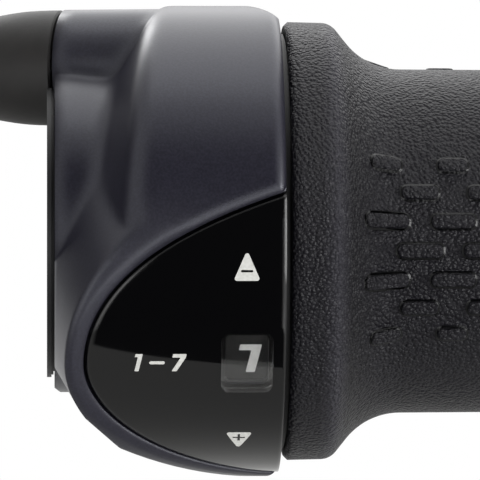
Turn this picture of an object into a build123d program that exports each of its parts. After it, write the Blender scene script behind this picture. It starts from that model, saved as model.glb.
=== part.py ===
from build123d import *
import os
from math import atan, cos, degrees, radians, sin, tan

# Twist grip shifter for a bicycle handlebar. Sizes in millimetres, angles in degrees.
# The bar runs along X with the grip on the +X side, the display faces -Y and Z is up.
# An angle round the bar starts at -Y and grows upwards.

# Length that a cut runs on past the surface it cuts, and the span that counts as one place
cut_over = 1.0
same_place = 0.01

# Handlebar and the bracket that sits on it
bar_radius = 11.1
bar_play = 0.2
sleeve_wall = 1.7
flange_thickness = 0.45
flange_inset = 1.5
shadow_gap = 0.3
shadow_depth = 0.25
clamp_length = 8.0
clamp_slit = 0.9
clamp_web_angle = 120
clamp_split = 1.5
disc_thickness = 1.4
disc_margin = 2.8
seat_clearance = 0.1

# Clamp ears, screw and insert
ear_start = 1.0
ear_length = 6.6
ear_height = 5.6
ear_margin = 3.9
ear_round = 2.4
ear_root = 0.5
clamp_screw_offset = 5.2
clamp_screw_radius = 1.95
clamp_screw_play = 0.2
clamp_head_radius = 3.5
clamp_head_height = 4.0
clamp_head_chamfer = 0.4
hex_key = 3.0
hex_depth = 2.2
clamp_insert_radius = 2.8
insert_recess = 0.1
thread_clearance = 0.05

# Shell
drum_radius = 23.5
drum_wall = 2.4
shell_end = 23.0
rim_round = 1.2
collar_wall = 3.3
collar_rise = 1.3
shoulder_middle = 9.9
shoulder_swing = 2.4
shoulder_slope = 59.4
shoulder_wall = 2.0
shoulder_round = 2.6
collar_blend = 2.5
cavity_start = 9.4
ear_window_height = 9.4
ear_window_rise = 1.4
ear_window_start = 9.0
ear_window_over = 2.0
ear_window_corner = 1.5
edge_margin = 0.5
wall_overlap = 1.0

# Underside and crown: places along the bar, with how far each lies inside the drum's radius
underside_start = (-0.25, 9.85)
underside_corner = (7.1, 3.25)
underside_middle = (13.3, 1.1)
underside_end = (23.5, -0.1)
underside_round = 1.5
underside_wall = 1.5
crown_start = (18.5, -0.12)
crown_middle = (21.2, 0.45)
crown_end = (23.0, 1.6)

# Display: frame, lens and window
display_angle = -31
lens_tip = 3.85
lens_mouth = 25.0
lens_upper_handle = 7.9
lens_upper_side = (10.8, 12.65)
lens_upper_mouth = 15.9
lens_lower_handle = 4.2
lens_lower_side = (8.4, 11.8)
lens_lower_mouth = 19.7
lens_handle_growth = 0.75
lens_side_growth = (0.2, 1.08)
lens_mouth_growth = 1.05
lens_thickness = 1.2
lens_drop = 0.4
lens_gap = 0.35
lens_round = 0.35
frame_lip = 1.6
frame_crest = 0.45
frame_draft = 16
frame_depth = 16
frame_top = 0.5
window_middle = 19.3
window_length = 5.0
window_height = 6.4
window_corner = 0.7
window_ledge = 0.4

# Cable nose, adjuster and boot
nose_x = 1.9
nose_drop = 0.4
nose_tilt = 14
nose_radius = 5.8
nose_length = 11.0
nose_seam = 0.3
barrel_insert_radius = 3.5
barrel_insert_length = 6.5
barrel_radius = 2.2
barrel_reach = 6.5
barrel_head_radius = 4.4
barrel_head_start = 0.6
barrel_head_length = 8.6
barrel_groove_count = 8
barrel_groove_radius = 0.6
casing_radius = 2.6
casing_depth = 6.5
cable_hole = 0.9
seat_cup_radius = 2.0
seat_cup_thickness = 1.2
seat_cup_clearance = 0.06
boot_length = 23.0
boot_mouth_radius = 3.5
boot_mouth_edge = 0.5
boot_mouth_slope = -0.05
boot_gap = 0.35
boot_inset = 0.05
boot_edge = 0.2
boot_skin = ((4.4, 0.2), (7.0, 0.6), (12.0, 1.4))

# Winder, indicator ring and detent
axial_play = 0.1
washer_thickness = 0.5
winder_clearance = 0.08
winder_boss_wall = 1.32
winder_boss_length = 0.95
detent_rise = 2.6
detent_length = 2.0
detent_angle = 180
gear_step = 17
gear_count = 7
notch_radius = 1.25
notch_rise = 0.6
groove_length = 2.3
groove_depth = 1.5
groove_lip = 0.4
hub_wall = 2.12
ring_shelf_gap = 1.1
ring_shelf_length = 1.0
winder_end = 21.4
nipple_radius = 1.8
nipple_angle = 60
nipple_rise = 0.2
stop_width = 8
stop_angle = 214
stop_gap = 0.25
stop_clearance = 0.5
stop_root = 0.3
ring_wall = 1.1
ring_running_gap = 0.4
ring_start = 16.9
ring_flange = 0.85
ring_flange_gap = 0.2
spring_thickness = 0.5
spring_rise = 0.7
spring_span = 60
spring_width = 1.6
spring_seat_angle = 4
spring_seat_depth = 0.6
spring_end_angle = 0.5
spring_washer_margin = 0.4
clip_groove_depth = 0.6
clip_thickness = 0.7
clip_rise = 1.6
clip_gap_angle = 50
sleeve_tail = 0.5

# Bracket screws, cable guide and port plug
bracket_screw_margin = 0.8
bracket_screw_angle = 70
bracket_screw_radius = 0.9
bracket_screw_depth = 1.5
bracket_head_radius = 1.8
bracket_head_height = 1.2
bracket_head_round = 0.4
cross_length = 2.0
cross_width = 0.5
cross_depth = 0.7
bracket_lobe_radius = 2.6
guide_angle = 92
guide_span = 44
guide_lift = 0.3
guide_bend = 4.4
guide_gap = 0.3
guide_lead = 2.0
guide_run = 12.0
port_angle = 235
port_x = 16.2
port_radius = 2.7
port_head_radius = 3.3
port_head = 0.8
port_head_round = 0.3
port_recess = 1.0
port_slot_length = 3.2
port_slot_width = 0.8
port_slot_depth = 0.4

# Grip
grip_gap = 0.6
grip_end = 84.0
core_gap = 0.4
core_wall = 2.7
core_flange_inset = 0.3
core_flange_length = 2.0
core_lip = 1.0
core_step = 0.1
dog_count = 3
dog_first = 60
dog_angle = 24
dog_gap = 1.0
dog_height = 1.9
dog_play = 0.6
rib_count = 6
rib_width = 2.4
rib_height = 0.8
rib_end_gap = 2.0
sleeve_flange_wall = 1.5
sleeve_flange_end = 28.2
sleeve_flange_taper = 0.1
sleeve_throat = 31.9
sleeve_neck_wall = 3.0
sleeve_tail_wall = 2.7
sleeve_flange_round = 1.9
sleeve_throat_round = 7.0
sleeve_edge = 0.4
sleeve_end_round = 2.2
end_lip = 0.6
end_lip_gap = 0.9

# Raised pads on the grip: rows round the bar, columns along it, every other row shifted
pad_height = 0.35
pad_width = 1.4
pad_row_step = 9.5
pad_first = 33.0
pad_column_step = 6.45
pad_column_count = 7
pad_lengths = (4.5, 4.3, 3.6, 2.9)
pad_group_count = 3
pad_group_angle = -3.2
pad_root = 1.3
pad_blank = 5.0

# Derived sizes: along the bar
shell_start = flange_thickness + shadow_gap
disc_end = cavity_start + disc_thickness
winder_start = disc_end + washer_thickness + axial_play
detent_start = winder_start + winder_boss_length
groove_start = detent_start + detent_length
groove_end = groove_start + groove_length
spring_start = detent_start + (detent_length - spring_width) / 2
clip_groove_start = winder_end + washer_thickness + axial_play
clip_groove_end = clip_groove_start + clip_thickness + axial_play
sleeve_end = clip_groove_end + sleeve_tail
ring_flange_start = winder_end + thread_clearance
ring_end = ring_flange_start + ring_flange
sleeve_start = shell_end + grip_gap
core_start = sleeve_start - core_step
core_end = grip_end - end_lip
clamp_screw_x = ear_start + ear_length / 2

# Derived sizes: outwards from the bar
sleeve_radius = bar_radius + bar_play + sleeve_wall
shell_bore = sleeve_radius + seat_clearance
collar_radius = shell_bore + collar_wall
disc_radius = sleeve_radius + disc_margin
bracket_screw_pitch = disc_radius + bracket_screw_margin
clamp_screw_y = bar_radius + clamp_screw_offset
ear_reach = clamp_screw_y + ear_margin
clip_radius = sleeve_radius + clip_rise
winder_bore = sleeve_radius + winder_clearance
winder_boss_radius = winder_bore + winder_boss_wall
stop_inner = winder_boss_radius + stop_gap
hub_radius = winder_bore + hub_wall
ring_flange_inner = hub_radius + ring_flange_gap
dog_inner = hub_radius + dog_gap
dog_outer = dog_inner + dog_height
detent_radius = winder_boss_radius + detent_rise
groove_radius = detent_radius - groove_depth
notch_centre = detent_radius + notch_rise
spring_radius = notch_centre + spring_rise
guide_inner = detent_radius + guide_lift
core_bore = bar_radius + core_gap
core_radius = core_bore + core_wall
end_lip_radius = core_bore + end_lip_gap
sleeve_neck_radius = core_radius + sleeve_neck_wall
sleeve_tail_radius = core_radius + sleeve_tail_wall
pad_base = sleeve_tail_radius - pad_root

# Derived sizes: inwards from the drum
cavity_radius = drum_radius - drum_wall
lens_radius = drum_radius - lens_drop
seat_root = drum_radius - wall_overlap
port_seat = drum_radius - port_recess
ring_radius = cavity_radius - ring_running_gap
ring_shelf_radius = ring_radius - ring_wall - ring_shelf_gap
core_flange_radius = ring_radius - core_flange_inset
sleeve_flange_radius = core_flange_radius + sleeve_flange_wall
nose_height = drum_radius - nose_drop - nose_radius

# Derived sizes: angles, travel and the adjuster
shoulder_reach = drum_radius / tan(radians(shoulder_slope))
shoulder_tilt = degrees(atan(shoulder_swing / drum_radius))
travel = gear_step * (gear_count - 1)
stop_pitch = stop_width + stop_clearance
barrel_head_end = barrel_head_start + barrel_head_length
casing_floor = barrel_head_end - casing_depth - seat_cup_thickness
boot_edge_radius = nose_radius - boot_inset
guide_reach = (detent_start - nose_x) / cos(radians(nose_tilt))


def around(angle, radius):
    """Y and Z of a point at an angle round the bar."""
    return (-radius * cos(radians(angle)), radius * sin(radians(angle)))


def across(x):
    """Plane square to the bar, looking outboard."""
    return Plane.YZ.offset(x)


def facing(angle, radius=0.0, x=0.0):
    """Plane that looks outwards at an angle round the bar, with its x along the bar."""
    y, z = around(angle, 1.0)
    return Plane(origin=(x, y * radius, z * radius), x_dir=(1, 0, 0), z_dir=(0, y, z))


def under_drum(place):
    """X and Z of a place near the drum's lowest line, from its depth inside the drum."""
    return (place[0], place[1] - drum_radius)


def over_drum(place):
    """X and Z of a place near the drum's highest line, from its depth inside the drum."""
    return (place[0], drum_radius - place[1])


def ring_sector(inner, outer, middle, width):
    """Part of a ring, centred on an angle round the bar."""
    with BuildSketch() as sector:
        with BuildLine():
            far = CenterArc((0, 0), outer, 180 - middle - width / 2, width)
            near = CenterArc((0, 0), inner, 180 - middle - width / 2, width)
            Line(near @ 0, far @ 0)
            Line(near @ 1, far @ 1)
        make_face()
    return sector.sketch


def teardrop(margin):
    """Outline of the display, grown by a margin. It runs on past the rim of the shell."""
    with BuildSketch() as outline:
        with BuildLine():
            tip_x = lens_tip - margin
            mouths = []
            for way, handle, side, mouth in (
                (1, lens_upper_handle, lens_upper_side, lens_upper_mouth),
                (-1, lens_lower_handle, lens_lower_side, lens_lower_mouth),
            ):
                side_x = side[0] - lens_side_growth[0] * margin
                side_y = side[1] + lens_side_growth[1] * margin
                half = Bezier(
                    (tip_x, 0),
                    (tip_x, way * (handle + lens_handle_growth * margin)),
                    (side_x, way * side_y),
                    (lens_mouth, way * (mouth + lens_mouth_growth * margin)),
                )
                mouths.append(half @ 1)
            Line(*mouths)
        make_face()
    return outline.sketch


def dog_middle(dog):
    """Angle round the bar of one of the grip's drive dogs."""
    return display_angle + dog_first + dog * 360 / dog_count


def dog_slots():
    """Openings that the grip's drive dogs reach through."""
    with BuildSketch() as slots:
        for dog in range(dog_count):
            inner = dog_inner - seat_clearance
            outer = dog_outer + seat_clearance
            add(ring_sector(inner, outer, dog_middle(dog), dog_angle + dog_play))
    return slots.sketch


def between(low, high):
    """Test for an edge that lies between two places along the bar."""
    return lambda edge: low < edge.bounding_box().min.X and edge.bounding_box().max.X < high


def on_rim(edge):
    """Test for an arc of the drum's full radius in the shell's outboard face."""
    at_end = abs(edge.center().X - shell_end) < same_place
    return at_end and abs(edge.radius - drum_radius) < same_place


def short_of_rim(edge):
    """Test for an edge that does not lie in the shell's outboard face."""
    return edge.center().X < shell_end - same_place


display = facing(display_angle)
tilt_y, tilt_z = around(display_angle, sin(radians(shoulder_tilt)))
shoulder_axis = Axis((shoulder_middle, 0, 0), (cos(radians(shoulder_tilt)), tilt_y, tilt_z))
shoulder_plane = Plane(
    origin=(shoulder_middle, 0, 0),
    x_dir=shoulder_axis.direction,
    z_dir=(0, *around(display_angle - 90, 1.0)),
)
lens_mouth_tip = display.from_local_coords((lens_tip - lens_gap, 0, drum_radius))
nose_axis = (-cos(radians(nose_tilt)), sin(radians(nose_tilt)), 0)
nose = Plane(origin=(nose_x, 0, nose_height), x_dir=(0, 0, 1), z_dir=nose_axis)
nose_side = Plane(origin=nose.origin, x_dir=nose_axis, z_dir=nose.y_dir)
nose_line = Axis(nose.origin, nose_axis)

bracket_screw_points = [
    around(display_angle + bracket_screw_angle * turn, bracket_screw_pitch) for turn in (-1, 0, 1)
]

os.makedirs("parts", exist_ok=True)

# Display frame that stands out of the shoulder, cut to the drum's own curve
with BuildPart() as display_frame:
    with BuildSketch(display.offset(drum_radius + frame_top)):
        add(teardrop(lens_gap + frame_lip))
    with BuildSketch(display.offset(drum_radius - frame_depth)):
        add(teardrop(lens_gap + frame_lip + frame_depth * tan(radians(frame_draft))))
    loft(ruled=True)
    with BuildSketch(across(shell_start)):
        Circle(drum_radius)
    extrude(amount=shell_end - shell_start, mode=Mode.INTERSECT)

# Pocket that the lens drops into
with BuildPart() as lens_pocket:
    with BuildSketch(display):
        add(teardrop(lens_gap))
    extrude(amount=drum_radius + cut_over)
    with BuildSketch(across(0)):
        Circle(lens_radius - lens_thickness)
    extrude(amount=lens_mouth + cut_over, mode=Mode.SUBTRACT)

# Underside: what is taken off the drum's lower inboard corner
with BuildPart() as underside:
    with BuildSketch(Plane.XZ):
        with BuildLine():
            corner = under_drum(underside_corner)
            Line(under_drum(underside_start), corner)
            ThreePointArc(corner, under_drum(underside_middle), under_drum(underside_end))
            Polyline(
                under_drum(underside_end),
                (underside_end[0], -2 * drum_radius),
                (underside_start[0], -2 * drum_radius),
                under_drum(underside_start),
            )
        make_face()
        fillet(vertices().sort_by_distance((*corner, 0))[0], radius=underside_round)
    extrude(amount=drum_radius + cut_over, both=True)

# Crown: what is taken off the top of the drum towards its rim
with BuildPart() as crown:
    with BuildSketch(Plane.XZ):
        with BuildLine():
            ThreePointArc(over_drum(crown_start), over_drum(crown_middle), over_drum(crown_end))
            Polyline(
                over_drum(crown_end),
                (crown_end[0] + cut_over, over_drum(crown_end)[1]),
                (crown_end[0] + cut_over, 2 * drum_radius),
                (crown_start[0], 2 * drum_radius),
                over_drum(crown_start),
            )
        make_face()
    extrude(amount=drum_radius + cut_over, both=True)

# Room for the mechanism: a drum inside the wall, cut by the shoulder's inner face
with BuildPart() as mechanism_room:
    with BuildSketch(across(cavity_start)):
        Circle(cavity_radius)
    extrude(amount=shell_end - cavity_start + cut_over)
    with BuildSketch(shoulder_plane):
        with BuildLine():
            inset = shoulder_wall / sin(radians(shoulder_slope))
            Polyline(
                (inset - shoulder_reach, 0),
                (inset + 2 * shoulder_reach, 3 * drum_radius),
                (inset + 2 * shoulder_reach, 0),
                close=True,
            )
        make_face()
    revolve(axis=shoulder_axis, mode=Mode.INTERSECT)
    add(underside.part.moved(Location((0, 0, underside_wall))), mode=Mode.SUBTRACT)

# Space that the boot moves in, cut out of the collar and the bracket
with BuildPart() as boot_room:
    with BuildSketch(nose):
        Circle(nose_radius + boot_gap)
    extrude(amount=boot_length)

# Painted shell
with BuildPart() as housing_shell:
    with BuildSketch(across(shell_start)):
        Circle(drum_radius)
    extrude(amount=shell_end - shell_start)
    with BuildSketch(shoulder_plane):
        with BuildLine():
            Polyline(
                (-shoulder_reach, 0),
                (2 * shoulder_reach, 3 * drum_radius),
                (2 * shoulder_reach, 0),
                close=True,
            )
        make_face()
    revolve(axis=shoulder_axis, mode=Mode.INTERSECT)
    shoulder_edges = edges().filter_by(between(shell_start + edge_margin, shell_end - edge_margin))
    fillet(shoulder_edges, radius=shoulder_round)
    with BuildSketch(across(shell_start)):
        with Locations((0, collar_rise)):
            Circle(collar_radius)
    extrude(amount=cavity_start - shell_start)
    collar_edges = edges().filter_by(between(shell_start + edge_margin, cavity_start))
    fillet(collar_edges.sort_by(Axis.X)[0], radius=collar_blend)
    with BuildSketch(nose):
        Circle(nose_radius)
    extrude(amount=-nose_length)
    # display frame with the lens pocket and its bevelled lip
    add(display_frame.part)
    add(lens_pocket.part, mode=Mode.SUBTRACT)
    lip_edge = edges().sort_by_distance(lens_mouth_tip)[0]
    lip_face = faces().filter_by(GeomType.CYLINDER).sort_by_distance(lens_mouth_tip)[0]
    chamfer(lip_edge, length=frame_lip - frame_crest, length2=lens_drop, reference=lip_face)
    fillet(edges().filter_by(GeomType.CIRCLE).filter_by(on_rim), radius=rim_round)
    add(underside.part, mode=Mode.SUBTRACT)
    add(crown.part, mode=Mode.SUBTRACT)
    add(boot_room.part, mode=Mode.SUBTRACT)
    # room for the mechanism, kept inside the shoulder's wall
    add(mechanism_room.part, mode=Mode.SUBTRACT)
    with BuildSketch(across(shell_start)):
        Circle(shell_bore)
    extrude(amount=shell_end, mode=Mode.SUBTRACT)
    # opening at the back for the clamp ears
    with BuildSketch(Plane.XZ.offset(-ear_window_start)):
        with Locations(((clamp_length - ear_window_over) / 2, ear_window_rise)):
            RectangleRounded(clamp_length + ear_window_over, 2 * ear_window_height, ear_window_corner)
    extrude(amount=-drum_radius, mode=Mode.SUBTRACT)
    # opening under the window
    with BuildSketch(display):
        with Locations((window_middle, 0)):
            opening_length = window_length - 2 * window_ledge
            RectangleRounded(opening_length, window_height - 2 * window_ledge, window_corner)
    extrude(amount=drum_radius, mode=Mode.SUBTRACT)
    # nose: seat for the threaded insert and the way through for the cable
    with BuildSketch(nose):
        Circle(barrel_insert_radius)
    extrude(amount=-barrel_insert_length, mode=Mode.SUBTRACT)
    with BuildSketch(nose):
        Circle(barrel_radius)
    extrude(amount=-nose_length, mode=Mode.SUBTRACT)
    # seats at the back for the ends of the detent spring
    for side in (-1, 1):
        seat_middle = detent_angle + side * (spring_span / 2 + spring_seat_angle / 2)
        rest_middle = seat_middle - side * spring_seat_angle
        rest_radius = spring_radius + spring_thickness / 2 + thread_clearance
        with BuildSketch(across(spring_start)):
            add(ring_sector(spring_radius - spring_seat_depth, seat_root, seat_middle, spring_seat_angle))
            add(ring_sector(rest_radius, seat_root, rest_middle, spring_seat_angle))
        extrude(amount=spring_width)
    # cable port at the lower back
    with BuildSketch(facing(port_angle, port_seat, port_x)):
        Circle(port_head_radius + thread_clearance)
    extrude(amount=drum_wall * 2, mode=Mode.SUBTRACT)
    with BuildSketch(facing(port_angle, cavity_radius - cut_over, port_x)):
        Circle(port_radius + thread_clearance)
    extrude(amount=drum_wall * 2, mode=Mode.SUBTRACT)
    # pilot holes for the bracket screws
    with BuildSketch(across(cavity_start)):
        with Locations(*bracket_screw_points):
            Circle(bracket_screw_radius)
    extrude(amount=-bracket_screw_depth, mode=Mode.SUBTRACT)
housing_shell.part.label = "housing_shell"
export_step(housing_shell.part, "parts/housing_shell.step")

# Glossy display cover
with BuildPart() as display_lens:
    with BuildSketch(display):
        add(teardrop(0))
    extrude(amount=drum_radius + cut_over)
    with BuildSketch(across(0)):
        Circle(lens_radius)
        Circle(lens_radius - lens_thickness, mode=Mode.SUBTRACT)
    extrude(amount=shell_end, mode=Mode.INTERSECT)
    lens_front = faces().filter_by(GeomType.CYLINDER).sort_by(SortBy.AREA)[-1]
    fillet(lens_front.edges().filter_by(short_of_rim), radius=lens_round)
    with BuildSketch(display):
        with Locations((window_middle, 0)):
            RectangleRounded(window_length, window_height, window_corner)
    extrude(amount=drum_radius + cut_over, mode=Mode.SUBTRACT)
display_lens.part.label = "display_lens"
export_step(display_lens.part, "parts/display_lens.step")

# Smoked pane that the gear number shows through
with BuildPart() as indicator_window:
    with BuildSketch(display):
        with Locations((window_middle, 0)):
            RectangleRounded(window_length, window_height, window_corner)
    extrude(amount=drum_radius + cut_over)
    with BuildSketch(across(0)):
        Circle(lens_radius)
        Circle(lens_radius - lens_thickness, mode=Mode.SUBTRACT)
    extrude(amount=shell_end, mode=Mode.INTERSECT)
indicator_window.part.label = "indicator_window"
export_step(indicator_window.part, "parts/indicator_window.step")

# Bracket: split clamp, inboard flange, disc and the sleeve that the winder turns on
with BuildPart() as bracket:
    with BuildSketch(across(0)):
        with Locations((0, collar_rise)):
            Circle(collar_radius - flange_inset)
    extrude(amount=flange_thickness)
    with BuildSketch(across(0)):
        with Locations((0, collar_rise)):
            Circle(collar_radius - flange_inset - shadow_depth)
    extrude(amount=shell_start - seat_clearance)
    with BuildSketch(across(0)):
        Circle(sleeve_radius)
    extrude(amount=sleeve_end)
    with BuildSketch(across(cavity_start)):
        Circle(disc_radius)
        with Locations(*bracket_screw_points):
            Circle(bracket_lobe_radius)
    extrude(amount=disc_thickness)
    # stops at both ends of the grip's travel
    with BuildSketch(across(disc_end)):
        add(ring_sector(stop_inner, disc_radius, stop_angle + stop_pitch, stop_width))
        add(ring_sector(stop_inner, disc_radius, stop_angle - travel - stop_pitch, stop_width))
    extrude(amount=winder_boss_length + axial_play)
    # clamp ears at the back
    with BuildSketch(Plane.XY.offset(-ear_height)):
        with Locations((ear_start, bar_radius + ear_root)):
            Rectangle(ear_length, ear_reach - bar_radius - ear_root, align=(Align.MIN, Align.MIN))
    extrude(amount=2 * ear_height)
    ear_edges = edges().filter_by(Axis.Z).group_by(Axis.Y)[-1]
    fillet(ear_edges, radius=ear_round)
    # bar bore and its relief under the sleeve
    with BuildSketch(across(0)):
        Circle(bar_radius)
    extrude(amount=sleeve_end, mode=Mode.SUBTRACT)
    with BuildSketch(across(clamp_length)):
        Circle(bar_radius + bar_play)
    extrude(amount=sleeve_end, mode=Mode.SUBTRACT)
    add(boot_room.part, mode=Mode.SUBTRACT)
    # split and slit that let the clamp close
    with BuildSketch(Plane.XY.offset(-clamp_split / 2)):
        Rectangle(clamp_length + clamp_slit, 2 * ear_reach, align=(Align.MIN, Align.MIN))
    extrude(amount=clamp_split, mode=Mode.SUBTRACT)
    with BuildSketch(across(clamp_length)):
        add(ring_sector(bar_radius - cut_over, sleeve_radius + cut_over, 180, 360 - clamp_web_angle))
    extrude(amount=clamp_slit, mode=Mode.SUBTRACT)
    # screw hole in the upper ear, seat for the insert in the lower ear
    with BuildSketch(Plane.XY):
        with Locations((clamp_screw_x, clamp_screw_y)):
            Circle(clamp_screw_radius + clamp_screw_play)
    extrude(amount=ear_height + cut_over, mode=Mode.SUBTRACT)
    with BuildSketch(Plane.XY):
        with Locations((clamp_screw_x, clamp_screw_y)):
            Circle(clamp_insert_radius)
    extrude(amount=-ear_height - cut_over, mode=Mode.SUBTRACT)
    # screw holes and retaining ring groove
    with BuildSketch(across(cavity_start)):
        with Locations(*bracket_screw_points):
            Circle(bracket_screw_radius + thread_clearance)
    extrude(amount=disc_thickness, mode=Mode.SUBTRACT)
    with BuildSketch(across(clip_groove_start)):
        Circle(sleeve_radius + cut_over)
        Circle(sleeve_radius - clip_groove_depth, mode=Mode.SUBTRACT)
    extrude(amount=clip_groove_end - clip_groove_start, mode=Mode.SUBTRACT)
bracket.part.label = "bracket"
export_step(bracket.part, "parts/bracket.step")

# Socket head screw through the clamp ears
with BuildPart() as clamp_screw:
    with BuildSketch(Plane.XY.offset(-ear_height)):
        with Locations((clamp_screw_x, clamp_screw_y)):
            Circle(clamp_screw_radius)
    extrude(amount=2 * ear_height)
    with BuildSketch(Plane.XY.offset(ear_height)):
        with Locations((clamp_screw_x, clamp_screw_y)):
            Circle(clamp_head_radius)
    extrude(amount=clamp_head_height)
    chamfer(edges().filter_by(GeomType.CIRCLE).group_by(Axis.Z)[-1], length=clamp_head_chamfer)
    with BuildSketch(Plane.XY.offset(ear_height + clamp_head_height)):
        with Locations((clamp_screw_x, clamp_screw_y)):
            RegularPolygon(hex_key / 2, 6, major_radius=False)
    extrude(amount=-hex_depth, mode=Mode.SUBTRACT)
clamp_screw.part.label = "clamp_screw"
export_step(clamp_screw.part, "parts/clamp_screw.step")

# Threaded insert in the lower ear
with BuildPart() as clamp_insert:
    with BuildSketch(Plane.XY.offset(-ear_height + insert_recess)):
        with Locations((clamp_screw_x, clamp_screw_y)):
            Circle(clamp_insert_radius)
            Circle(clamp_screw_radius + thread_clearance, mode=Mode.SUBTRACT)
    extrude(amount=ear_height - clamp_split / 2 - 2 * insert_recess)
clamp_insert.part.label = "clamp_insert"
export_step(clamp_insert.part, "parts/clamp_insert.step")

# Three screws that hold the bracket in the shell
with BuildPart() as bracket_screws:
    with BuildSketch(across(cavity_start - bracket_screw_depth + insert_recess)):
        with Locations(*bracket_screw_points):
            Circle(bracket_screw_radius)
    extrude(amount=bracket_screw_depth + disc_thickness - insert_recess)
    with BuildSketch(across(disc_end)):
        with Locations(*bracket_screw_points):
            Circle(bracket_head_radius)
    extrude(amount=bracket_head_height)
    fillet(edges().filter_by(GeomType.CIRCLE).group_by(Axis.X)[-1], radius=bracket_head_round)
    with BuildSketch(across(disc_end + bracket_head_height)):
        with Locations(*bracket_screw_points):
            Rectangle(cross_length, cross_width)
            Rectangle(cross_width, cross_length)
    extrude(amount=-cross_depth, mode=Mode.SUBTRACT)
bracket_screws.part.label = "bracket_screws"
export_step(bracket_screws.part, "parts/bracket_screws.step")

# Washers on both sides of the winder
with BuildPart() as thrust_washer:
    with BuildSketch(across(disc_end)):
        Circle(winder_boss_radius)
        Circle(sleeve_radius + thread_clearance, mode=Mode.SUBTRACT)
    extrude(amount=washer_thickness)
thrust_washer.part.label = "thrust_washer"
export_step(thrust_washer.part, "parts/thrust_washer.step")

with BuildPart() as spring_washer:
    with BuildSketch(across(winder_end + axial_play)):
        Circle(clip_radius + spring_washer_margin)
        Circle(sleeve_radius + thread_clearance, mode=Mode.SUBTRACT)
    extrude(amount=washer_thickness)
spring_washer.part.label = "spring_washer"
export_step(spring_washer.part, "parts/spring_washer.step")

# Open ring that keeps the winder on the sleeve
with BuildPart() as retaining_ring:
    with BuildSketch(across(clip_groove_start + axial_play / 2)):
        clip_inner = sleeve_radius - clip_groove_depth + thread_clearance
        add(ring_sector(clip_inner, clip_radius, 90, 360 - clip_gap_angle))
    extrude(amount=clip_thickness)
retaining_ring.part.label = "retaining_ring"
export_step(retaining_ring.part, "parts/retaining_ring.step")

# Leaf spring with a rolled nose that clicks into the winder
with BuildPart() as detent_spring:
    with BuildSketch(across(spring_start)):
        leaf_inner = spring_radius - spring_thickness / 2
        leaf_outer = spring_radius + spring_thickness / 2
        add(ring_sector(leaf_inner, leaf_outer, detent_angle, spring_span - spring_end_angle))
        with Locations(around(detent_angle, notch_centre)):
            Circle(notch_radius - seat_clearance)
            Circle(notch_radius - seat_clearance - spring_thickness, mode=Mode.SUBTRACT)
    extrude(amount=spring_width)
detent_spring.part.label = "detent_spring"
export_step(detent_spring.part, "parts/detent_spring.step")

# Guide that leads the cable round from the nose to the winder
with BuildPart() as cable_guide:
    with BuildSketch(across(detent_start)):
        add(ring_sector(guide_inner, cavity_radius - guide_gap, guide_angle, guide_span))
    extrude(amount=groove_end - detent_start)
    with BuildLine() as cable_way:
        entry = nose.origin - Vector(*nose_axis) * guide_reach
        way_in = Line(entry + Vector(*nose_axis) * guide_lead, entry)
        bend = JernArc(entry, -Vector(*nose_axis), guide_bend, -(90 - nose_tilt))
        Line(bend @ 1, bend @ 1 + Vector(0, -guide_run, 0))
    with BuildSketch(Plane(origin=way_in @ 0, z_dir=way_in % 0)):
        Circle(cable_hole)
    sweep(mode=Mode.SUBTRACT)
cable_guide.part.label = "cable_guide"
export_step(cable_guide.part, "parts/cable_guide.step")

# Threaded insert in the nose
with BuildPart() as barrel_insert:
    with BuildSketch(nose.offset(-insert_recess)):
        Circle(barrel_insert_radius)
        Circle(barrel_radius + thread_clearance, mode=Mode.SUBTRACT)
    extrude(amount=-barrel_insert_length + 2 * insert_recess)
barrel_insert.part.label = "barrel_insert"
export_step(barrel_insert.part, "parts/barrel_insert.step")

# Rubber plug in the cable port
with BuildPart() as cable_port_plug:
    with BuildSketch(facing(port_angle, port_seat, port_x)):
        Circle(port_head_radius)
    extrude(amount=port_head)
    port_outside = (port_x, *around(port_angle, 2 * drum_radius))
    fillet(edges().filter_by(GeomType.CIRCLE).sort_by_distance(port_outside)[0], radius=port_head_round)
    with BuildSketch(facing(port_angle, port_seat, port_x)):
        Circle(port_radius)
    extrude(amount=-(port_seat - cavity_radius))
    with BuildSketch(facing(port_angle, port_seat + port_head, port_x)):
        SlotOverall(port_slot_length, port_slot_width)
    extrude(amount=-port_slot_depth, mode=Mode.SUBTRACT)
cable_port_plug.part.label = "cable_port_plug"
export_step(cable_port_plug.part, "parts/cable_port_plug.step")

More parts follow.
